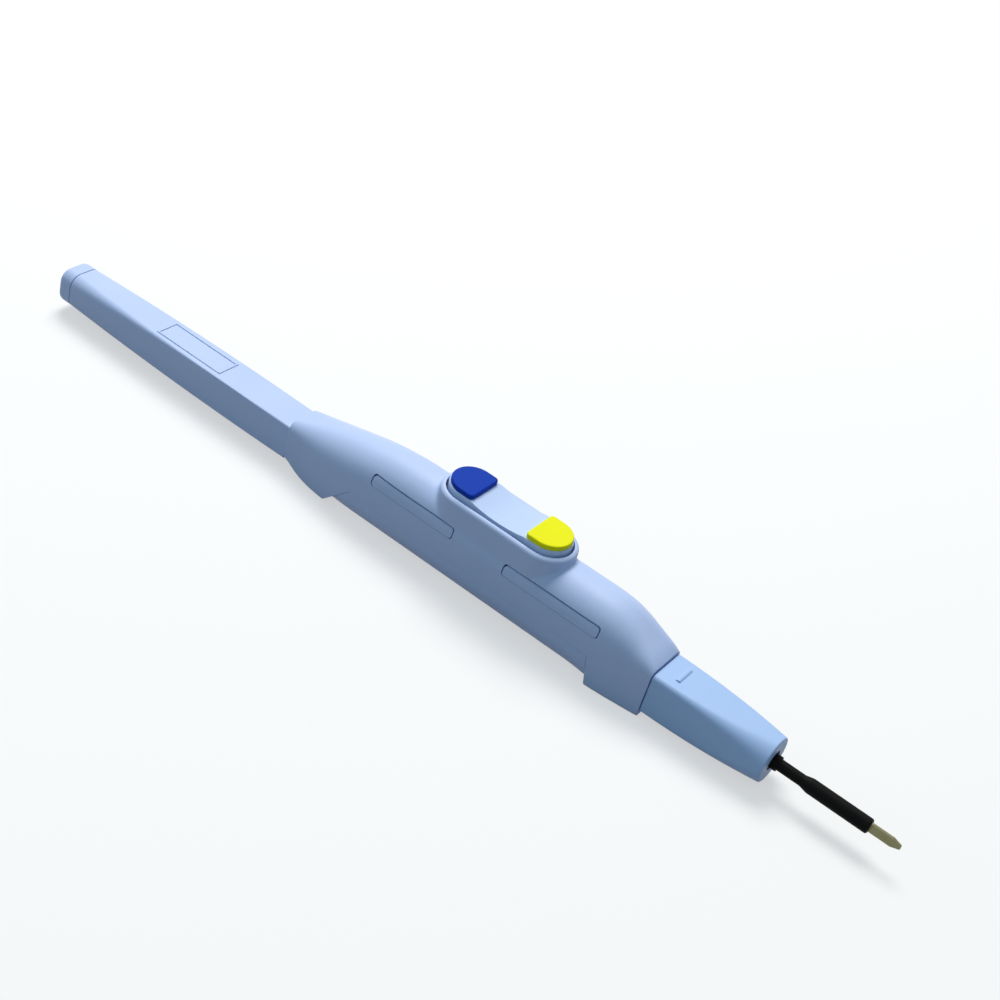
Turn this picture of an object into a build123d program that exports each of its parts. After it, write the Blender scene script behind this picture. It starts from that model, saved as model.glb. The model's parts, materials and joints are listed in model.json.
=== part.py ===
from build123d import *
import os
from math import pi, sin

# Electrosurgical pencil, in millimetres. +X points along the handle to the electrode's tip,
# +Z is up through the rocker switch, and Z = 0 is the surface that the pencil lies on.

# Lengths along the handle, from the rear end to the tip
CAP_LENGTH = 3.4
BARREL_LENGTH = 60.6
BODY_LENGTH = 86.5
NOSE_LENGTH = 24.5
SLEEVE_REACH = 19.7
BLADE_REACH = 6.0
TOTAL_LENGTH = CAP_LENGTH + BARREL_LENGTH + BODY_LENGTH + NOSE_LENGTH + SLEEVE_REACH + BLADE_REACH

X_REAR = -TOTAL_LENGTH / 2
X_BARREL = X_REAR + CAP_LENGTH
X_BODY = X_BARREL + BARREL_LENGTH
X_SEAM = X_BODY + BODY_LENGTH
X_NOSE = X_SEAM + NOSE_LENGTH
X_SLEEVE = X_NOSE + SLEEVE_REACH
X_TIP = X_SLEEVE + BLADE_REACH

# Height of the electrode's axis above the surface
AXIS_Z = 5.6

# Walls and clearances
WALL = 1.2
FIT_GAP = 0.05
SEAM_GAP = 0.2
LATCH_GAP = 0.15
LATCH_TOP_GAP = 0.3
LATCH_END_GAP = 0.22
LATCH_FOOT_GAP = 0.04
MOVING_GAP = 0.4
CUT_OVER = 1.0

# Square barrel: sharp corners at the front that round off towards the rear
BARREL_WIDTH = 8.1
BARREL_HEIGHT = 7.6
BARREL_CORNER_REAR = 2.6
BARREL_CORNER_MID = 0.7
BARREL_CORNER_FRONT = 0.45
BARREL_MID_SHARE = 0.42
BARREL_WALL = 1.05
BORE_CORNER = 1.2

# Spigots that join the barrel and the nose to the body
SPIGOT_STEP = 0.85
SPIGOT_WALL = 0.85
SPIGOT_CORNER = 0.5
BARREL_SPIGOT = 9.0
NOSE_SPIGOT = 9.0

# Raised rectangular frame of the bare label on the barrel
LABEL_LENGTH = 17.2
LABEL_WIDTH = 5.5
LABEL_LINE = 0.4
LABEL_RISE = 0.16
LABEL_FROM_BODY = 28.5

# Rear cap and the inlet for the cord
CAP_SPIGOT = 5.0
CAP_EDGE = 1.2
CAP_SEAM = 0.18
INLET_DIAMETER = 3.8

# Body: sizes of its section at the rear collar, at its middle and at the front collar
REAR_WIDTH = 8.7
REAR_RISE = 5.0
REAR_DROP = 4.1
REAR_CORNER = 2.0
MID_WIDTH = 12.6
MID_RISE = 11.1
MID_SHOULDER = 5.9
REAR_CHIN_CORNER = 1.5
FRONT_CHIN_CORNER = 0.8
FRONT_WIDTH = 9.9
FRONT_RISE = 5.1
FRONT_CORNER = 1.4
REAR_BLEND = 31.0
SHOULDER_BLEND = 16.5
REAR_WIDTH_BLEND = 19.5
REAR_DROP_BLEND = 9.0
FRONT_BLEND = 14.0
BODY_STEPS = 24
END_WALL = 5.0
BODY_LIP = 0.4
CHIN_TRIM = 0.05

# Cover under the body, between its two chins
SPLIT_RISE = 1.0
COVER_REAR = 11.5
COVER_REAR_SLOPE = 1.0
COVER_FRONT_SHARE = 0.874
COVER_FRONT_SLOPE = 0.2
COVER_LIFT = 0.15
COVER_CORNER = 5.0
COVER_CORNER_FRONT = 3.0
COVER_FLARE = 9.0
COVER_GAP = 0.06
COVER_OVERHANG = 3.0

# Latches of the cover, which show in four windows of the body
WINDOW_LOW = 5.3
WINDOW_HIGH = 7.8
WINDOW_CORNER = 0.7
REAR_WINDOW_START_SHARE = 0.2543
REAR_WINDOW_END_SHARE = 0.482
FRONT_WINDOW_START_SHARE = 0.616
FRONT_WINDOW_END_SHARE = 0.867
LATCH_RECESS = 0.06
LATCH_ARM = 1.0
LATCH_ARM_LENGTH = 7.5
LATCH_ARM_INSET = 2.0
LATCH_ROOT = 4.0

# Raised pad around the rocker switch
PAD_CENTRE_SHARE = 0.5607
PAD_RISE = 13.1
PAD_WALL = 0.9
PAD_EDGE = 0.8
PAD_FOOT = 0.8
POCKET_FLOOR = 7.0

# Rocker switch
ROCKER_LENGTH = 26.8
ROCKER_WIDTH = 9.0
ROCKER_RISE = 14.15
ROCKER_THICKNESS = 1.8
ROCKER_DISH = 0.65
ROCKER_EDGE = 0.3
PIVOT_RISE = 10.9
PIVOT_RADIUS = 0.8
PIVOT_SEAT = 0.5
PIVOT_GAP = 0.06
WEB_LENGTH = 2.6
POST_FROM_END = 4.4
POST_RADIUS = 1.2
POST_STROKE = 0.55

# Coloured caps of the rocker
CAP_GAP = 12.2
CAP_THICKNESS = 0.95
CAP_INSET = 0.25
CAP_ROUND = 0.3
CAP_CORNER = 0.9
CAP_PIN_RADIUS = 1.0
CAP_PIN_LENGTH = 1.1

# Circuit board, snap domes and silicone seal under the rocker
BOARD_RISE = 7.0
BOARD_MARGIN = 3.1
BOARD_WIDTH = 7.2
BOARD_THICKNESS = 1.0
BOARD_RIB = 1.2
BOARD_RIB_WIDTH = 5.0
BOARD_POST_RADIUS = 1.2
BOARD_POST_BEYOND = 2.0
DOME_RADIUS = 2.4
DOME_HEIGHT = 0.5
DOME_SHEET = 0.15
SEAL_MARGIN = 0.1
SEAL_WIDTH = 6.6
SEAL_THICKNESS = 0.5
SEAL_BUMP_RADIUS = 3.0
SEAL_BUMP = 0.6
SEAL_DOME_GAP = 0.1

# Nose cone: square at the body, round at its face
NOSE_WIDTH = 9.4
NOSE_HEIGHT = 9.0
NOSE_FACE_DIAMETER = 9.1
NOSE_CORNER = 0.9
NOSE_TURN = 2.2
NOSE_STEPS = 6
NOSE_FACE_FLAT = 0.1
NOSE_FACE_WALL = 2.5
NOSE_EDGE = 0.35
NUB_FROM_SEAM = 3.9
NUB_RADIUS = 0.6
NUB_WIDTH = 4.4
NUB_RISE = 0.3

# Electrode: round shank, thin neck and flat blade in one piece, in an insulating sleeve
SHANK_DIAMETER = 2.36
SHANK_DEPTH = 24.0
SHANK_REACH = 0.6
NECK_ROD_DIAMETER = 1.5
BLADE_WIDTH = 2.15
BLADE_THICKNESS = 0.6
BLADE_POINT = 1.7
BLADE_TIP_WIDTH = 0.9
BLADE_ROUND = 0.35
BLADE_BEVEL = 0.15
COLLAR_DIAMETER = 2.9
COLLAR_LENGTH = 1.2
NECK_DIAMETER = 2.2
NECK_END = 6.0
NECK_CONE = 1.6
SLEEVE_DIAMETER = 2.9
SLEEVE_EDGE = 0.25

# Silicone ring that seals the shank in the nose's face
TIP_SEAL_DIAMETER = 4.0
TIP_SEAL_DEPTH = 1.2

# Brass socket for the shank and the strip that feeds it
SOCKET_DIAMETER = 4.0
SOCKET_FLANGE_DIAMETER = 5.2
SOCKET_FLANGE = 0.8
SOCKET_FIT = 0.03
SOCKET_SLOT = 0.5
SOCKET_SLOT_LENGTH = 9.0
STRIP_WIDTH = 3.0
STRIP_THICKNESS = 0.5
STRIP_OVERLAP = 3.0
STRIP_DROP = 1.6

# Insulated leads from the board to the cord inlet
LEAD_DIAMETER = 1.0
LEAD_PITCH_BOARD = 2.2
LEAD_PITCH_BARREL = 1.25
LEAD_BEND = 6.0
LEAD_STRAIGHT = 4.0
LEAD_END_GAP = 0.4

# Places and lengths that follow from the sizes above
X_PAD = X_BODY + BODY_LENGTH * PAD_CENTRE_SHARE
COVER_FRONT = BODY_LENGTH * COVER_FRONT_SHARE
REAR_WINDOW = (BODY_LENGTH * REAR_WINDOW_START_SHARE, BODY_LENGTH * REAR_WINDOW_END_SHARE)
FRONT_WINDOW = (BODY_LENGTH * FRONT_WINDOW_START_SHARE, BODY_LENGTH * FRONT_WINDOW_END_SHARE)
POST_OFFSET = ROCKER_LENGTH / 2 - POST_FROM_END
BOARD_LENGTH = ROCKER_LENGTH + 2 * BOARD_MARGIN
BOARD_POST_OFFSET = POST_OFFSET + BOARD_POST_BEYOND
SEAL_LENGTH = ROCKER_LENGTH + 2 * SEAL_MARGIN
BIG = 2 * TOTAL_LENGTH


def height(rise):
    """Height above the surface of a point that is given above the electrode's axis."""
    return AXIS_Z + rise


def rounded_section(x, half_width, low, high, low_corner, high_corner):
    """Upright rectangle across the handle, with one radius for its lower corners and one above."""
    edges = [
        Line((-half_width + low_corner, low), (half_width - low_corner, low)),
        CenterArc((half_width - low_corner, low + low_corner), low_corner, -90, 90),
        Line((half_width, low + low_corner), (half_width, high - high_corner)),
        CenterArc((half_width - high_corner, high - high_corner), high_corner, 0, 90),
        Line((half_width - high_corner, high), (-half_width + high_corner, high)),
        CenterArc((-half_width + high_corner, high - high_corner), high_corner, 90, 90),
        Line((-half_width, high - high_corner), (-half_width, low + low_corner)),
        CenterArc((-half_width + low_corner, low + low_corner), low_corner, 180, 90),
    ]
    return Plane.YZ.offset(x) * make_face(edges)


def even_section(x, half_width, half_height, corner):
    """Rounded rectangle around the electrode's axis."""
    return rounded_section(x, half_width, height(-half_height), height(half_height), corner, corner)


def prism_between(x_start, x_end, half_width, half_height, corner):
    """Straight bar of rounded rectangular section along the axis."""
    return extrude(even_section(x_start, half_width, half_height, corner), x_end - x_start, dir=(1, 0, 0))


def bar(x_start, x_end, radius, rise=0.0):
    """Round bar along the handle."""
    length = x_end - x_start
    middle = (x_start + x_end) / 2
    return Pos(middle, 0, height(rise)) * Rot(0, 90, 0) * Cylinder(radius, length)


def block(x_start, x_end, y_start, y_end, z_start, z_end):
    """Box between two corners."""
    size = (x_end - x_start, y_end - y_start, z_end - z_start)
    middle = ((x_start + x_end) / 2, (y_start + y_end) / 2, (z_start + z_end) / 2)
    return Pos(*middle) * Box(*size)


def ease(distance, length):
    """Quarter sine that rises steeply from 0 and levels off at 1 after the given length."""
    return sin(pi / 2 * min(distance / length, 1.0))


def body_sizes(station):
    """Half width, rise, drop, shoulder radius and lower corner of the body at a distance along it."""
    ahead = BODY_LENGTH - station
    front = ease(ahead, FRONT_BLEND)
    rise = MID_RISE
    rise -= (MID_RISE - REAR_RISE) * (1 - ease(station, REAR_BLEND))
    rise -= (MID_RISE - FRONT_RISE) * (1 - front)
    half_width = MID_WIDTH / 2
    half_width -= (MID_WIDTH - REAR_WIDTH) / 2 * (1 - ease(station, REAR_WIDTH_BLEND))
    half_width -= (MID_WIDTH - FRONT_WIDTH) / 2 * (1 - front)
    shoulder = MID_SHOULDER
    shoulder -= (MID_SHOULDER - REAR_CORNER) * (1 - ease(station, SHOULDER_BLEND))
    shoulder -= (MID_SHOULDER - FRONT_CORNER) * (1 - front)
    drop = REAR_DROP + (AXIS_Z + CHIN_TRIM - REAR_DROP) * ease(station, REAR_DROP_BLEND)
    chin_corner = REAR_CHIN_CORNER + (FRONT_CHIN_CORNER - REAR_CHIN_CORNER) * station / BODY_LENGTH
    corner = REAR_CORNER + (chin_corner - REAR_CORNER) * ease(station, REAR_DROP_BLEND)
    return half_width, rise, drop, shoulder, corner


def body_section(station, inset):
    """Section of the body, drawn in from its outside by the inset."""
    half_width, rise, drop, shoulder, corner = body_sizes(station)
    least = SPIGOT_CORNER
    return rounded_section(
        X_BODY + station,
        half_width - inset,
        height(-drop) + inset,
        height(rise) - inset,
        max(corner - inset, least),
        max(shoulder - inset, least),
    )


def stations(start, end):
    """Evenly spaced distances along the body, from start to end."""
    return [start + (end - start) * step / BODY_STEPS for step in range(BODY_STEPS + 1)]


def body_form(inset=0.0, start=0.0, end=BODY_LENGTH):
    """Smooth solid through the body's sections."""
    return loft([body_section(station, inset) for station in stations(start, end)])


def stadium(length, width, low, high):
    """Upright prism of stadium shape over the middle of the pad."""
    return extrude(Pos(X_PAD, 0, height(low)) * SlotOverall(length, width), high - low)


def window_prism(window, side, end_gap=0.0, foot_gap=0.0, top_gap=0.0):
    """Rounded prism that cuts one latch window, or fills it when it is drawn in by the gaps."""
    length = window[1] - window[0] - 2 * end_gap
    low = height(WINDOW_LOW) + foot_gap
    high = height(WINDOW_HIGH) - top_gap
    middle = Pos(X_BODY + (window[0] + window[1]) / 2, (low + high) / 2)
    outline = Plane.XZ * middle * RectangleRounded(length, high - low, WINDOW_CORNER)
    return extrude(outline, MID_WIDTH, dir=(0, side, 0))


def cover_space(gap):
    """Wedge-ended space between the chins that the cover fills, drawn in by the gap at its ends."""
    low = height(-AXIS_Z - COVER_OVERHANG)
    high = height(SPLIT_RISE)
    below = COVER_OVERHANG
    above = AXIS_Z + SPLIT_RISE
    x_rear = X_BODY + COVER_REAR + gap
    x_front = X_BODY + COVER_FRONT - gap
    outline = Polyline(
        (x_rear - below * COVER_REAR_SLOPE, low),
        (x_front + below * COVER_FRONT_SLOPE, low),
        (x_front - above * COVER_FRONT_SLOPE, high),
        (x_rear + above * COVER_REAR_SLOPE, high),
        close=True,
    )
    return extrude(Plane.XZ * make_face(outline), MID_WIDTH, both=True)


AXIS_PLANE = Plane((0, 0, AXIS_Z), x_dir=(1, 0, 0), z_dir=(0, -1, 0))
SOLID_ABOVE = block(-BIG, BIG, -BIG, BIG, height(SPLIT_RISE), BIG)
LEAD_HOLE = (BARREL_WIDTH / 2 - SPIGOT_STEP + FIT_GAP, BARREL_HEIGHT / 2 - SPIGOT_STEP + FIT_GAP)
NOSE_HOLE = (NOSE_WIDTH / 2 - SPIGOT_STEP + FIT_GAP, NOSE_HEIGHT / 2 - SPIGOT_STEP + FIT_GAP)
POCKET_LENGTH = ROCKER_LENGTH + 2 * MOVING_GAP
POCKET_WIDTH = ROCKER_WIDTH + 2 * MOVING_GAP


def body_housing():
    """Moulded body: top, sides and both chins, with the pad, the switch pocket and the windows."""
    outer = body_form()
    outer = fillet(outer.faces().sort_by(Axis.X)[0].edges(), BODY_LIP)
    outer -= block(-BIG, BIG, -BIG, BIG, -BIG, 0)
    pad = stadium(POCKET_LENGTH + 2 * PAD_WALL, POCKET_WIDTH + 2 * PAD_WALL, POCKET_FLOOR, PAD_RISE)
    pad = fillet(pad.faces().sort_by(Axis.Z)[-1].edges(), PAD_EDGE)
    shell = outer + pad
    shell = fillet(new_edges(outer, pad, combined=shell), PAD_FOOT)
    shell -= body_form(WALL, END_WALL, BODY_LENGTH - END_WALL) & SOLID_ABOVE
    shell -= cover_space(0)
    shell -= prism_between(X_BODY - CUT_OVER, X_BODY + BODY_LENGTH / 2, *LEAD_HOLE, SPIGOT_CORNER)
    shell -= prism_between(X_SEAM - BODY_LENGTH / 2, X_SEAM + CUT_OVER, *NOSE_HOLE, SPIGOT_CORNER)
    shell -= stadium(POCKET_LENGTH, POCKET_WIDTH, POCKET_FLOOR, PAD_RISE + CUT_OVER)
    seat_span = POCKET_WIDTH + 2 * PIVOT_SEAT
    seats = Pos(X_PAD, 0, height(PIVOT_RISE)) * Rot(90, 0, 0) * Cylinder(PIVOT_RADIUS + PIVOT_GAP, seat_span)
    shell -= seats
    for window in (REAR_WINDOW, FRONT_WINDOW):
        for side in (-1, 1):
            shell -= window_prism(window, side)
    for end in (-1, 1):
        x_rib = X_PAD + end * (BOARD_LENGTH - BOARD_RIB) / 2
        shell += block(
            x_rib - BOARD_RIB / 2, x_rib + BOARD_RIB / 2, -BOARD_RIB_WIDTH / 2, BOARD_RIB_WIDTH / 2,
            height(BOARD_RISE), height(MID_RISE - WALL / 2),
        )
    return shell


def cover_form(inset):
    """Trough that follows the body's sides below the split, with wide round lower corners."""
    start = COVER_REAR - COVER_OVERHANG
    end = COVER_FRONT + COVER_OVERHANG
    low = COVER_LIFT + inset
    high = height(SPLIT_RISE + WALL)
    sections = []
    for station in stations(start, end):
        half_width = body_sizes(station)[0] - inset
        flare = 1 - ease(max(end - station, 0), COVER_FLARE)
        corner = COVER_CORNER - (COVER_CORNER - COVER_CORNER_FRONT) * flare - inset
        section = rounded_section(X_BODY + station, half_width, low, high, corner, SPIGOT_CORNER)
        sections.append(section)
    return loft(sections)


def bottom_cover():
    """Cover between the chins, with its four latches and the posts that carry the board."""
    trough = cover_form(0) - cover_form(WALL)
    cover = trough & cover_space(COVER_GAP)
    reach = (COVER_REAR, BODY_LENGTH - END_WALL)
    catch_skin = body_form(LATCH_RECESS, *reach)
    wall_inside = body_form(WALL, *reach)
    arm_outside = body_form(WALL + LATCH_GAP, *reach)
    arm_inside = body_form(WALL + LATCH_GAP + LATCH_ARM, *reach)
    rear_arm = REAR_WINDOW[0] + LATCH_ARM_INSET
    front_arm = FRONT_WINDOW[1] - LATCH_ARM_INSET - LATCH_ARM_LENGTH
    arm_top = (WINDOW_LOW + WINDOW_HIGH) / 2
    for window, start in ((REAR_WINDOW, rear_arm), (FRONT_WINDOW, front_arm)):
        for side in (-1, 1):
            opening = window_prism(window, side, LATCH_END_GAP, LATCH_FOOT_GAP, LATCH_TOP_GAP)
            y_pair = sorted((0, side * MID_WIDTH))
            span = block(
                X_BODY + start, X_BODY + start + LATCH_ARM_LENGTH, y_pair[0], y_pair[1],
                height(SPLIT_RISE - LATCH_ROOT), height(arm_top),
            )
            cover += (catch_skin - wall_inside) & opening
            cover += (catch_skin - arm_inside) & opening & span
            cover += (arm_outside - arm_inside) & span
    post_high = height(BOARD_RISE) - BOARD_THICKNESS
    for end in (-1, 1):
        x_post = X_PAD + end * BOARD_POST_OFFSET
        post_low = COVER_LIFT + WALL / 2
        middle = (post_low + post_high) / 2
        cover += Pos(x_post, 0, middle) * Cylinder(BOARD_POST_RADIUS, post_high - post_low)
    return cover


def barrel():
    """Square rear tube with a raised label frame and a spigot that enters the body."""
    half_width = BARREL_WIDTH / 2
    half_height = BARREL_HEIGHT / 2
    x_mid = X_BARREL + BARREL_LENGTH * BARREL_MID_SHARE
    tube = loft([
        even_section(X_BARREL + CAP_SEAM, half_width, half_height, BARREL_CORNER_REAR),
        even_section(x_mid, half_width, half_height, BARREL_CORNER_MID),
        even_section(X_BODY, half_width, half_height, BARREL_CORNER_FRONT),
    ])
    spigot_width = half_width - SPIGOT_STEP
    spigot_height = half_height - SPIGOT_STEP
    spigot = (spigot_width, spigot_height, SPIGOT_CORNER)
    tube += prism_between(X_BODY - CUT_OVER, X_BODY + BARREL_SPIGOT, *spigot)
    bore = (half_width - BARREL_WALL, half_height - BARREL_WALL, BORE_CORNER)
    tube -= prism_between(X_BARREL - CUT_OVER, X_BODY - BARREL_WALL, *bore)
    neck = (spigot_width - SPIGOT_WALL, spigot_height - SPIGOT_WALL, SPIGOT_CORNER)
    tube -= prism_between(X_BARREL - CUT_OVER, X_BODY + BARREL_SPIGOT + CUT_OVER, *neck)
    label = Rectangle(LABEL_LENGTH, LABEL_WIDTH)
    label -= Rectangle(LABEL_LENGTH - 2 * LABEL_LINE, LABEL_WIDTH - 2 * LABEL_LINE)
    label_place = Pos(X_BODY - LABEL_FROM_BODY, 0, height(half_height) - LABEL_RISE)
    tube += extrude(label_place * label, 2 * LABEL_RISE)
    return tube


def rear_cap():
    """End cap with the round inlet for the cord."""
    half_width = BARREL_WIDTH / 2
    half_height = BARREL_HEIGHT / 2
    cap = prism_between(X_REAR, X_BARREL, half_width, half_height, BARREL_CORNER_REAR)
    cap = fillet(cap.faces().sort_by(Axis.X)[0].edges(), CAP_EDGE)
    plug = (half_width - BARREL_WALL - FIT_GAP, half_height - BARREL_WALL - FIT_GAP, BORE_CORNER)
    cap += prism_between(X_BARREL - CAP_LENGTH / 2, X_BARREL + CAP_SPIGOT, *plug)
    cap -= bar(X_REAR - CUT_OVER, X_BARREL + CAP_SPIGOT + CUT_OVER, INLET_DIAMETER / 2)
    return cap


def nose_cone():
    """Nose that turns from square to round, with the bore for the socket and a rib on top."""
    half_width = NOSE_WIDTH / 2
    half_height = NOSE_HEIGHT / 2
    face_radius = NOSE_FACE_DIAMETER / 2
    x_start = X_SEAM + SEAM_GAP
    face_corner = face_radius - NOSE_FACE_FLAT / 2
    sections = []
    for step in range(NOSE_STEPS + 1):
        share = step / NOSE_STEPS
        section_width = half_width + (face_radius - half_width) * share
        section_height = half_height + (face_radius - half_height) * share
        corner = NOSE_CORNER + (face_corner - NOSE_CORNER) * share**NOSE_TURN
        x = x_start + (X_NOSE - x_start) * share
        sections.append(even_section(x, section_width, section_height, corner))
    cone = loft(sections)
    cone = fillet(cone.faces().sort_by(Axis.X)[-1].edges(), NOSE_EDGE)
    spigot = (half_width - SPIGOT_STEP, half_height - SPIGOT_STEP, SPIGOT_CORNER)
    cone += prism_between(X_SEAM - NOSE_SPIGOT, x_start + CUT_OVER, *spigot)
    cone -= bar(X_SEAM - NOSE_SPIGOT - CUT_OVER, X_NOSE - NOSE_FACE_WALL, SOCKET_DIAMETER / 2 + FIT_GAP)
    cone -= bar(X_SEAM, X_NOSE + CUT_OVER, SHANK_DIAMETER / 2 + MOVING_GAP / 2)
    cone -= bar(X_NOSE - TIP_SEAL_DEPTH, X_NOSE + CUT_OVER, TIP_SEAL_DIAMETER / 2 + FIT_GAP)
    nub = Pos(X_SEAM + NUB_FROM_SEAM, 0, height(half_height + NUB_RISE - NUB_RADIUS))
    cone += nub * Rot(90, 0, 0) * Cylinder(NUB_RADIUS, NUB_WIDTH)
    return cone


def cap_shape(end):
    """D-shaped outline of one coloured cap, over the front (+1) or the rear (-1) of the rocker."""
    outline = SlotOverall(ROCKER_LENGTH - 2 * CAP_INSET, ROCKER_WIDTH - 2 * CAP_INSET)
    keep = Pos(end * (CAP_GAP + BIG) / 2, 0) * Rectangle(BIG, BIG)
    shape = outline & keep
    across = shape.vertices().group_by(Axis.X)
    corners = across[0] if end > 0 else across[-1]
    return fillet(corners, CAP_CORNER)


def cap_pin_x(end):
    """Place along the handle of the pin that holds one cap."""
    return X_PAD + end * (CAP_GAP + ROCKER_LENGTH) / 4


def rocker_plate():
    """Rocker with its pivot bar, the dish between the caps and the posts that press the domes."""
    low = ROCKER_RISE - ROCKER_THICKNESS
    plate = stadium(ROCKER_LENGTH, ROCKER_WIDTH, low, ROCKER_RISE)
    plate = fillet(plate.faces().sort_by(Axis.Z)[-1].edges(), ROCKER_EDGE)
    half_chord = CAP_GAP / 2
    dish_radius = (half_chord**2 + ROCKER_DISH**2) / (2 * ROCKER_DISH)
    dish_centre = ROCKER_RISE - ROCKER_DISH + dish_radius
    plate -= Pos(X_PAD, 0, height(dish_centre)) * Rot(90, 0, 0) * Cylinder(dish_radius, BIG)
    plate += block(
        X_PAD - WEB_LENGTH / 2, X_PAD + WEB_LENGTH / 2, -ROCKER_WIDTH / 2, ROCKER_WIDTH / 2,
        height(PIVOT_RISE), height(low),
    )
    pivot_span = POCKET_WIDTH + 2 * PIVOT_SEAT - 2 * FIT_GAP
    plate += Pos(X_PAD, 0, height(PIVOT_RISE)) * Rot(90, 0, 0) * Cylinder(PIVOT_RADIUS, pivot_span)
    post_low = height(BOARD_RISE + SEAL_THICKNESS + SEAL_BUMP + POST_STROKE)
    for end in (-1, 1):
        post_length = height(low) - post_low
        x_post = X_PAD + end * POST_OFFSET
        plate += Pos(x_post, 0, post_low + post_length / 2) * Cylinder(POST_RADIUS, post_length)
        hole_depth = CAP_PIN_LENGTH + FIT_GAP
        hole = Cylinder(CAP_PIN_RADIUS + FIT_GAP, hole_depth)
        plate -= Pos(cap_pin_x(end), 0, height(ROCKER_RISE) - hole_depth / 2) * hole
    return plate


def rocker_cap(end):
    """Coloured cap that is pinned on one end of the rocker."""
    cap = extrude(Pos(X_PAD, 0, height(ROCKER_RISE)) * cap_shape(end), CAP_THICKNESS)
    cap = fillet(cap.faces().sort_by(Axis.Z)[-1].edges(), CAP_ROUND)
    pin = Cylinder(CAP_PIN_RADIUS, CAP_PIN_LENGTH)
    return cap + Pos(cap_pin_x(end), 0, height(ROCKER_RISE) - CAP_PIN_LENGTH / 2) * pin


def switch_board():
    """Circuit board that carries the snap domes."""
    low = height(BOARD_RISE) - BOARD_THICKNESS
    return block(
        X_PAD - BOARD_LENGTH / 2, X_PAD + BOARD_LENGTH / 2, -BOARD_WIDTH / 2, BOARD_WIDTH / 2,
        low, height(BOARD_RISE),
    )


def snap_dome(end):
    """Thin domed spring disc on the board under one post."""
    radius = (DOME_RADIUS**2 + DOME_HEIGHT**2) / (2 * DOME_HEIGHT)
    shell = Sphere(radius) - Sphere(radius - DOME_SHEET)
    seat = radius - DOME_HEIGHT
    shell &= Pos(0, 0, seat + radius / 2) * Box(2 * radius, 2 * radius, radius)
    return Pos(X_PAD + end * POST_OFFSET, 0, height(BOARD_RISE) - seat) * shell


def switch_seal():
    """Silicone sheet over the board, raised over each dome."""
    sheet = stadium(SEAL_LENGTH, SEAL_WIDTH, BOARD_RISE, BOARD_RISE + SEAL_THICKNESS)
    for end in (-1, 1):
        x_dome = X_PAD + end * POST_OFFSET
        bump = SEAL_THICKNESS + SEAL_BUMP
        sheet += Pos(x_dome, 0, height(BOARD_RISE) + bump / 2) * Cylinder(SEAL_BUMP_RADIUS, bump)
    for end in (-1, 1):
        x_dome = X_PAD + end * POST_OFFSET
        room = DOME_HEIGHT + SEAL_DOME_GAP
        hollow = Cylinder(DOME_RADIUS + SEAL_DOME_GAP, 2 * room)
        sheet -= Pos(x_dome, 0, height(BOARD_RISE)) * hollow
    return sheet


def blade_electrode():
    """Stainless electrode: round shank, thin neck and flat upright blade with a rounded point."""
    x_neck = X_NOSE + SHANK_REACH
    x_blade = X_NOSE + NECK_END
    shank = bar(X_NOSE - SHANK_DEPTH, x_neck, SHANK_DIAMETER / 2)
    neck = bar(x_neck - CUT_OVER, x_blade + NECK_CONE, NECK_ROD_DIAMETER / 2)
    x_root = x_blade + NECK_CONE / 2
    x_side = X_TIP - BLADE_POINT
    half = BLADE_WIDTH / 2
    half_tip = BLADE_TIP_WIDTH / 2
    outline = make_face(Polyline(
        (x_root, -half),
        (x_side, -half),
        (X_TIP, -half_tip),
        (X_TIP, half_tip),
        (x_side, half),
        (x_root, half),
        close=True,
    ))
    outline = fillet(outline.vertices().sort_by(Axis.X)[2:], BLADE_ROUND)
    blade = extrude(AXIS_PLANE * outline, BLADE_THICKNESS / 2, both=True)
    blade = chamfer(blade.faces().filter_by(Axis.Y).edges(), BLADE_BEVEL)
    return shank + neck + blade


def electrode_sleeve():
    """Black insulation: stop collar, thin neck and thick part around the root of the blade."""
    outline = Polyline(
        (X_NOSE, 0),
        (X_NOSE, COLLAR_DIAMETER / 2),
        (X_NOSE + COLLAR_LENGTH, COLLAR_DIAMETER / 2),
        (X_NOSE + COLLAR_LENGTH, NECK_DIAMETER / 2),
        (X_NOSE + NECK_END, NECK_DIAMETER / 2),
        (X_NOSE + NECK_END + NECK_CONE, SLEEVE_DIAMETER / 2),
        (X_SLEEVE - SLEEVE_EDGE, SLEEVE_DIAMETER / 2),
        (X_SLEEVE, SLEEVE_DIAMETER / 2 - SLEEVE_EDGE),
        (X_SLEEVE, 0),
        close=True,
    )
    sleeve = revolve(AXIS_PLANE * make_face(outline), Axis((0, 0, AXIS_Z), (1, 0, 0)))
    return sleeve - blade_electrode()


def tip_seal():
    """Ring in the nose's face around the shank."""
    ring = bar(X_NOSE - TIP_SEAL_DEPTH, X_NOSE, TIP_SEAL_DIAMETER / 2)
    return ring - bar(X_NOSE - SHANK_DEPTH, X_NOSE + CUT_OVER, SHANK_DIAMETER / 2 + FIT_GAP)


def electrode_socket():
    """Slotted brass tube that grips the shank, with a flange behind the nose."""
    x_flange = X_SEAM - NOSE_SPIGOT
    x_front = X_NOSE - NOSE_FACE_WALL - SEAM_GAP
    socket = bar(x_flange - SOCKET_FLANGE, x_front, SOCKET_DIAMETER / 2)
    socket += bar(x_flange - SOCKET_FLANGE, x_flange, SOCKET_FLANGE_DIAMETER / 2)
    socket -= bar(x_flange - BIG, X_NOSE, SHANK_DIAMETER / 2 + SOCKET_FIT)
    x_slot = x_front - SOCKET_SLOT_LENGTH
    half = SOCKET_SLOT / 2
    socket -= block(x_slot, X_NOSE, -SOCKET_DIAMETER, SOCKET_DIAMETER, height(-half), height(half))
    socket -= block(x_slot, X_NOSE, -half, half, height(-SOCKET_DIAMETER), height(SOCKET_DIAMETER))
    return socket


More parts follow.
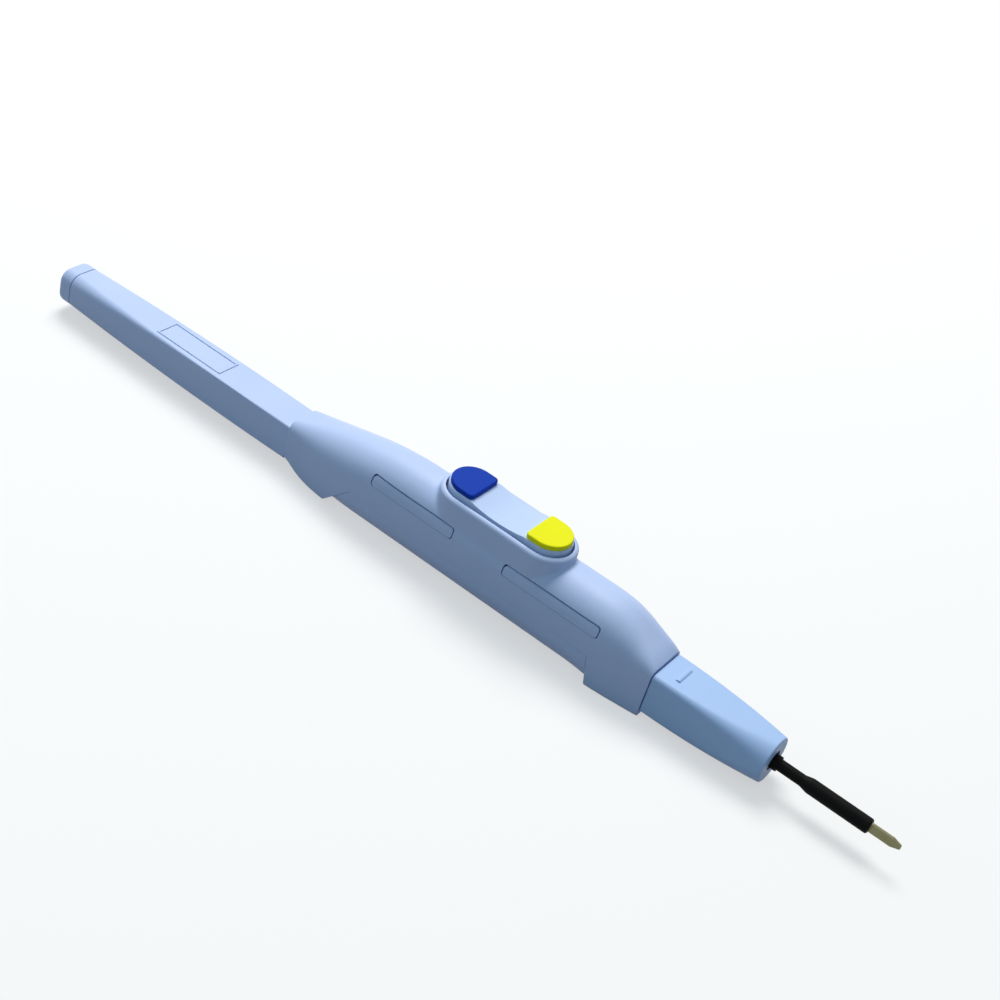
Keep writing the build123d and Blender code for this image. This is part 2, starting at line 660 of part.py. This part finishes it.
def contact_strip():
    """Bent brass strip from the board's front end down to the socket's flange."""
    x_front = X_SEAM - NOSE_SPIGOT - SOCKET_FLANGE
    x_rear = X_PAD + BOARD_LENGTH / 2 - STRIP_OVERLAP
    top = height(BOARD_RISE) - BOARD_THICKNESS
    half = STRIP_WIDTH / 2
    level = block(x_rear, x_front, -half, half, top - STRIP_THICKNESS, top)
    leg = block(x_front - STRIP_THICKNESS, x_front, -half, half, height(-STRIP_DROP), top)
    return level + leg


def lead(place):
    """Insulated wire from the board's rear edge through the barrel to the cord inlet."""
    x_board = X_PAD - BOARD_LENGTH / 2
    x_level = X_BODY + BARREL_SPIGOT + LEAD_STRAIGHT
    x_end = X_BARREL + CAP_SPIGOT + LEAD_END_GAP
    y_board = place * LEAD_PITCH_BOARD
    y_barrel = place * LEAD_PITCH_BARREL
    z_board = height(BOARD_RISE) - BOARD_THICKNESS / 2
    route = FilletPolyline(
        (x_board, y_board, z_board),
        (x_board - LEAD_STRAIGHT, y_board, z_board),
        (x_level, y_barrel, AXIS_Z),
        (x_end, y_barrel, AXIS_Z),
        radius=LEAD_BEND,
    )
    start = Plane((x_board, y_board, z_board), z_dir=(-1, 0, 0))
    return sweep(start * Circle(LEAD_DIAMETER / 2), path=route)


PIECES = {
    "body_housing": body_housing(),
    "bottom_cover": bottom_cover(),
    "barrel": barrel(),
    "rear_cap": rear_cap(),
    "nose_cone": nose_cone(),
    "rocker_plate": rocker_plate(),
    "cut_cap": rocker_cap(1),
    "coag_cap": rocker_cap(-1),
    "switch_seal": switch_seal(),
    "switch_board": switch_board(),
    "cut_dome": snap_dome(1),
    "coag_dome": snap_dome(-1),
    "tip_seal": tip_seal(),
    "electrode_socket": electrode_socket(),
    "contact_strip": contact_strip(),
    "blade_electrode": blade_electrode(),
    "electrode_sleeve": electrode_sleeve(),
    "active_lead": lead(0),
    "cut_lead": lead(1),
    "coag_lead": lead(-1),
}

os.makedirs("parts", exist_ok=True)
for name, piece in PIECES.items():
    export_step(piece, f"parts/{name}.step")
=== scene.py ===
"""Electrosurgical pencil: moulded handle, rocker switch, insulated blade electrode, light and view."""

import json
from math import radians

import bpy
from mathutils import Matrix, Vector

MM = 0.001

# Refractive indices of the plastics and rubbers
ABS_IOR = 1.54
POLYOLEFIN_IOR = 1.49
SILICONE_IOR = 1.41
SOLDER_MASK_IOR = 1.5
PVC_IOR = 1.53

# Moulded plastic: radius that a mould leaves on an edge that is drawn sharp
MOULD_EDGE_MM = 0.14
MOULD_EDGE_SAMPLES = 6
# Size of its flow clouds, and how far the roughness strays with them
FLOW_MM = 14.0
FLOW_SMOOTHER = 0.05
FLOW_ROUGHER = 0.07
# Share of the grain's depth that shows, and the level of a satin surface's glare
GRAIN_STRENGTH = 0.6
SATIN_SHINE = 0.2

# Ground metal: depth of its scratches, the share of it that shows, and how far the roughness strays with them
SCRATCH_DEPTH_MM = 0.01
SCRATCH_STRENGTH = 0.4
SCRATCH_SMOOTHER = 0.08
SCRATCH_ROUGHER = 0.12

# Sockets of a colour Mix node
FIRST_COLOUR = 6
SECOND_COLOUR = 7
MIXED_COLOUR = 2

# Floor in metres: the shadow lies within its reach of the object's middle, then the floor goes to white
FLOOR_SIZE = 40.0
SHADOW_REACH = 0.12
WHITE_FROM = 0.45
# Share of plain white where the shadow lies
FLOOR_GLOW = 0.55

# Light, in metres and watts
DAYLIGHT_STRENGTH = 0.27
LAMP_SIZE = 0.5
LAMP_AIM = (0, 0, 0.01)
KEY_PLACE = (-0.34, 0.35, 0.83)
KEY_WATTS = 9.1
NEAR_PLACE = (-0.15, -0.60, 0.50)
NEAR_WATTS = 0.66

# Camera at the photograph's angle: place in metres, turn in degrees, lens and sensor in millimetres
CAMERA_PLACE = (0.12578, -0.23449, 0.21385)
CAMERA_TURN = (52.2285, -13.8104, 36.8813)
CAMERA_LENS = 64.8
CAMERA_SENSOR = 36.0
CAMERA_NEAREST = 0.01

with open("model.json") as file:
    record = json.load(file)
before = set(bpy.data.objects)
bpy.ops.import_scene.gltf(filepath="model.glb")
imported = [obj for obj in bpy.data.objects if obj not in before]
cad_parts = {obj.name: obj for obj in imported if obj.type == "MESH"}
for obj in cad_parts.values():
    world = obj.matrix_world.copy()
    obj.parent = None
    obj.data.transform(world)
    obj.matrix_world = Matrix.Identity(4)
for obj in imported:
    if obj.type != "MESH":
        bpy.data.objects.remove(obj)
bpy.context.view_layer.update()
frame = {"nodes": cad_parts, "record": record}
nodes = frame["nodes"]
slot_of = {part["node"]: part["material_slot"] for part in frame["record"]["subparts"]}


def linear(hex_colour):
    """Linear colour of an sRGB hex value."""
    channels = [int(hex_colour[place:place + 2], 16) / 255 for place in (1, 3, 5)]
    return [c / 12.92 if c <= 0.04045 else ((c + 0.055) / 1.055) ** 2.4 for c in channels] + [1.0]


def per(size_mm):
    """Texture scale at which one cell of a pattern has the given size in millimetres."""
    return 1 / (size_mm * MM)


def add(tree, kind, settings, links=()):
    """Adds a node, sets its fields and inputs, and feeds its inputs from other nodes."""
    node = tree.nodes.new(kind)
    for field, value in settings.items():
        if isinstance(field, int) or field in node.inputs:
            node.inputs[field].default_value = value
        else:
            setattr(node, field, value)
    for field, source in dict(links).items():
        tree.links.new(source, node.inputs[field])
    return node


def new_material(name):
    """Empty node material with its output."""
    material = bpy.data.materials.new(name)
    material.use_nodes = True
    tree = material.node_tree
    tree.nodes.clear()
    return material, tree, add(tree, "ShaderNodeOutputMaterial", {})


def moulded_plastic(
    name, colour, deep_colour, ior, roughness, grain_mm, grain_depth_mm, flow_mm=FLOW_MM, shine=SATIN_SHINE
):
    """Moulded plastic: faint flow clouds in the colour, soft edges and a spark-eroded grain.

    The grain is drawn coarser than a real one, so that it shows.
    """
    material, tree, output = new_material(name)
    place = add(tree, "ShaderNodeTexCoord", {}).outputs["Object"]
    flow = add(
        tree,
        "ShaderNodeTexNoise",
        {"Scale": per(flow_mm), "Detail": 3.0, "Roughness": 0.55},
        {"Vector": place},
    )
    tint = add(
        tree,
        "ShaderNodeMix",
        {"data_type": "RGBA", FIRST_COLOUR: linear(colour), SECOND_COLOUR: linear(deep_colour)},
        {0: flow.outputs["Fac"]},
    )
    grain = add(tree, "ShaderNodeTexNoise", {"Scale": per(grain_mm), "Detail": 2.0}, {"Vector": place})
    polish = add(
        tree,
        "ShaderNodeMapRange",
        {"To Min": roughness - FLOW_SMOOTHER, "To Max": roughness + FLOW_ROUGHER},
        {"Value": flow.outputs["Fac"]},
    )
    corner = add(tree, "ShaderNodeBevel", {"samples": MOULD_EDGE_SAMPLES, "Radius": MOULD_EDGE_MM * MM})
    relief = add(
        tree,
        "ShaderNodeBump",
        {"Strength": GRAIN_STRENGTH, "Distance": grain_depth_mm * MM},
        {"Height": grain.outputs["Fac"], "Normal": corner.outputs["Normal"]},
    )
    shader = add(
        tree,
        "ShaderNodeBsdfPrincipled",
        {"IOR": ior, "Specular IOR Level": shine},
        {
            "Base Color": tint.outputs[MIXED_COLOUR],
            "Roughness": polish.outputs["Result"],
            "Normal": relief.outputs["Normal"],
        },
    )
    tree.links.new(shader.outputs["BSDF"], output.inputs["Surface"])
    return material


def ground_metal(name, colour, deep_colour, roughness, along_mm, across_mm):
    """Ground or drawn metal: long scratches along the handle that spread its highlights."""
    material, tree, output = new_material(name)
    place = add(tree, "ShaderNodeTexCoord", {}).outputs["Object"]
    stretch = add(
        tree,
        "ShaderNodeMapping",
        {"Scale": (per(along_mm), per(across_mm), per(across_mm))},
        {"Vector": place},
    )
    lines = add(
        tree,
        "ShaderNodeTexNoise",
        {"Scale": 1.0, "Detail": 4.0, "Roughness": 0.6},
        {"Vector": stretch.outputs["Vector"]},
    )
    tint = add(
        tree,
        "ShaderNodeMix",
        {"data_type": "RGBA", FIRST_COLOUR: linear(colour), SECOND_COLOUR: linear(deep_colour)},
        {0: lines.outputs["Fac"]},
    )
    polish = add(
        tree,
        "ShaderNodeMapRange",
        {"To Min": roughness - SCRATCH_SMOOTHER, "To Max": roughness + SCRATCH_ROUGHER},
        {"Value": lines.outputs["Fac"]},
    )
    relief = add(
        tree,
        "ShaderNodeBump",
        {"Strength": SCRATCH_STRENGTH, "Distance": SCRATCH_DEPTH_MM * MM},
        {"Height": lines.outputs["Fac"]},
    )
    shader = add(
        tree,
        "ShaderNodeBsdfPrincipled",
        {"Metallic": 1.0},
        {
            "Base Color": tint.outputs[MIXED_COLOUR],
            "Roughness": polish.outputs["Result"],
            "Normal": relief.outputs["Normal"],
        },
    )
    tree.links.new(shader.outputs["BSDF"], output.inputs["Surface"])
    return material


def seen_directly(tree):
    """One for the rays that show the background: from the camera, a mirror-like surface or glass."""
    rays = add(tree, "ShaderNodeLightPath", {})
    seen = rays.outputs["Is Camera Ray"]
    for kind in ("Is Glossy Ray", "Is Transmission Ray"):
        larger = add(tree, "ShaderNodeMath", {"operation": "MAXIMUM"}, {0: seen, 1: rays.outputs[kind]})
        seen = larger.outputs[0]
    return seen


def soft_box(name, place, watts, colour):
    """Square studio lamp that faces the object."""
    lamp = bpy.data.lights.new(name, "AREA")
    lamp.shape = "SQUARE"
    lamp.size = LAMP_SIZE
    lamp.energy = watts
    lamp.color = linear(colour)[:3]
    box = bpy.data.objects.new(name, lamp)
    bpy.context.scene.collection.objects.link(box)
    box.location = place
    direction = Vector(LAMP_AIM) - Vector(place)
    box.rotation_euler = direction.to_track_quat("-Z", "Y").to_euler()


FINISHES = {
    # Satin ABS of the handle, light lavender: soft, wide highlights and a very fine grain.
    "handle_abs": moulded_plastic(
        "satin_abs_lavender_blue", "#BFCFF3", "#B5C7EE", ABS_IOR,
        roughness=0.47, grain_mm=0.22, grain_depth_mm=0.006,
    ),
    # Satin ABS of the nose, moulded apart from the body: a little cooler in tint.
    "nose_abs": moulded_plastic(
        "satin_abs_light_blue", "#AFCAF3", "#A5C1ED", ABS_IOR,
        roughness=0.45, grain_mm=0.22, grain_depth_mm=0.006,
    ),
    # Satin ABS of the rocker: smoother than the body, and a little paler as painted light, which stands in
    # for the extra light on its upward-facing plate.
    "rocker_abs": moulded_plastic(
        "satin_abs_rocker_blue_painted_light", "#C2D4F6", "#B9CDF2", ABS_IOR,
        roughness=0.43, grain_mm=0.22, grain_depth_mm=0.006,
    ),
    # Satin ABS of the caps: strong, deep colours that keep little of the light's glare.
    "yellow_cap": moulded_plastic(
        "satin_abs_lemon_yellow", "#F2F012", "#EAE606", ABS_IOR,
        roughness=0.5, grain_mm=0.25, grain_depth_mm=0.005, shine=0.07,
    ),
    "blue_cap": moulded_plastic(
        "satin_abs_cobalt_blue", "#0F3FB0", "#0B359F", ABS_IOR,
        roughness=0.5, grain_mm=0.25, grain_depth_mm=0.005, shine=0.05,
    ),
    # Extruded polyolefin around the electrode: deep black, satin and slightly uneven.
    "black_insulation": moulded_plastic(
        "black_polyolefin", "#050506", "#080809", POLYOLEFIN_IOR,
        roughness=0.55, grain_mm=0.5, grain_depth_mm=0.02, shine=0.06,
    ),
    # Silicone of the ring in the nose: matt, so that it reads as one dark ring.
    "black_silicone": moulded_plastic(
        "black_silicone", "#08080A", "#0C0C0E", SILICONE_IOR,
        roughness=0.6, grain_mm=0.3, grain_depth_mm=0.01, shine=0.06,
    ),
    # Silicone of the switch's seal: pale grey, soft and dull.
    "silicone": moulded_plastic(
        "grey_silicone", "#C4C4BF", "#B8B8B3", SILICONE_IOR,
        roughness=0.5, grain_mm=0.3, grain_depth_mm=0.008,
    ),
    # Solder mask on the circuit board: green and half glossy, with clouds of a few millimetres.
    "board_laminate": moulded_plastic(
        "green_solder_mask", "#1E6B43", "#195C39", SOLDER_MASK_IOR,
        roughness=0.35, grain_mm=0.6, grain_depth_mm=0.01, flow_mm=3.0,
    ),
    # PVC of the leads: smooth and slightly waxy, each lead in the colour of its circuit.
    "white_lead": moulded_plastic(
        "white_pvc_lead", "#E4E4E0", "#DAD9D4", PVC_IOR,
        roughness=0.42, grain_mm=0.4, grain_depth_mm=0.01,
    ),
    "yellow_lead": moulded_plastic(
        "yellow_pvc_lead", "#E6CE2A", "#DBC11E", PVC_IOR,
        roughness=0.42, grain_mm=0.4, grain_depth_mm=0.01,
    ),
    "blue_lead": moulded_plastic(
        "blue_pvc_lead", "#2B56B8", "#2449A2", PVC_IOR,
        roughness=0.42, grain_mm=0.4, grain_depth_mm=0.01,
    ),
    # Ground stainless steel of the blade: warm grey, with scratches drawn coarser than real ones to show.
    "stainless_steel": ground_metal(
        "ground_stainless_steel", "#868468", "#69684C", roughness=0.38, along_mm=2.5, across_mm=0.12
    ),
    # Rolled spring steel of the snap domes: bright, with long fine lines.
    "spring_steel": ground_metal(
        "spring_steel_strip", "#CFCFCC", "#BDBDBA", roughness=0.24, along_mm=3.0, across_mm=0.2
    ),
    # Turned brass of the socket and its strip: yellow and bright, with fine lines.
    "brass": ground_metal(
        "turned_brass", "#D9B45C", "#C59C46", roughness=0.3, along_mm=2.0, across_mm=0.15
    ),
}

for node, piece in nodes.items():
    piece.data.materials.clear()
    piece.data.materials.append(FINISHES[slot_of[node]])

# Floor: a pale sheet, near white where it is seen, that keeps the shadow and goes to white far away
bpy.ops.object.select_all(action="DESELECT")
bpy.ops.mesh.primitive_plane_add(size=FLOOR_SIZE)
floor = bpy.context.object
floor.name = "studio_floor"
floor_paint, tree, output = new_material("pale_floor_paint")
place = add(tree, "ShaderNodeTexCoord", {}).outputs["Object"]
distance = add(tree, "ShaderNodeVectorMath", {"operation": "LENGTH"}, {0: place})
share = add(
    tree,
    "ShaderNodeMapRange",
    {
        "interpolation_type": "SMOOTHSTEP",
        "From Min": SHADOW_REACH,
        "From Max": WHITE_FROM,
        "To Min": FLOOR_GLOW,
    },
    {"Value": distance.outputs["Value"]},
)
white_paint = add(tree, "ShaderNodeBsdfDiffuse", {"Color": linear("#F4F4F4")})
grey_paint = add(tree, "ShaderNodeBsdfDiffuse", {"Color": linear("#8C8C90")})
glow = add(tree, "ShaderNodeEmission", {"Color": linear("#FFFFFF"), "Strength": 1.0})
bright = add(
    tree,
    "ShaderNodeMixShader",
    {},
    {0: share.outputs["Result"], 1: white_paint.outputs[0], 2: glow.outputs[0]},
)
surface = add(
    tree,
    "ShaderNodeMixShader",
    {},
    {0: seen_directly(tree), 1: grey_paint.outputs[0], 2: bright.outputs[0]},
)
tree.links.new(surface.outputs[0], output.inputs["Surface"])
floor.data.materials.append(floor_paint)

# World: soft, dim daylight on the object, white where it is seen past the floor
world = bpy.data.worlds.new("studio_air")
bpy.context.scene.world = world
world.use_nodes = True
tree = world.node_tree
tree.nodes.clear()
dim = add(tree, "ShaderNodeBackground", {"Color": linear("#CFF1FF"), "Strength": DAYLIGHT_STRENGTH})
white = add(tree, "ShaderNodeBackground", {"Color": linear("#FFFFFF"), "Strength": 1.0})
both = add(tree, "ShaderNodeMixShader", {}, {0: seen_directly(tree), 1: dim.outputs[0], 2: white.outputs[0]})
add(tree, "ShaderNodeOutputWorld", {}, {"Surface": both.outputs[0]})

# Lamps: a warm white one above the far side, and a weak, cool one that lifts the near side
soft_box("key_soft_box", KEY_PLACE, KEY_WATTS, "#FFFCF8")
soft_box("near_soft_box", NEAR_PLACE, NEAR_WATTS, "#CFF0FF")

camera = bpy.data.cameras.new("view")
camera.lens = CAMERA_LENS
camera.sensor_width = CAMERA_SENSOR
camera.clip_start = CAMERA_NEAREST
viewer = bpy.data.objects.new("view", camera)
bpy.context.scene.collection.objects.link(viewer)
viewer.location = CAMERA_PLACE
viewer.rotation_euler = [radians(angle) for angle in CAMERA_TURN]
bpy.context.scene.camera = viewer
bpy.context.scene.view_settings.view_transform = "Standard"
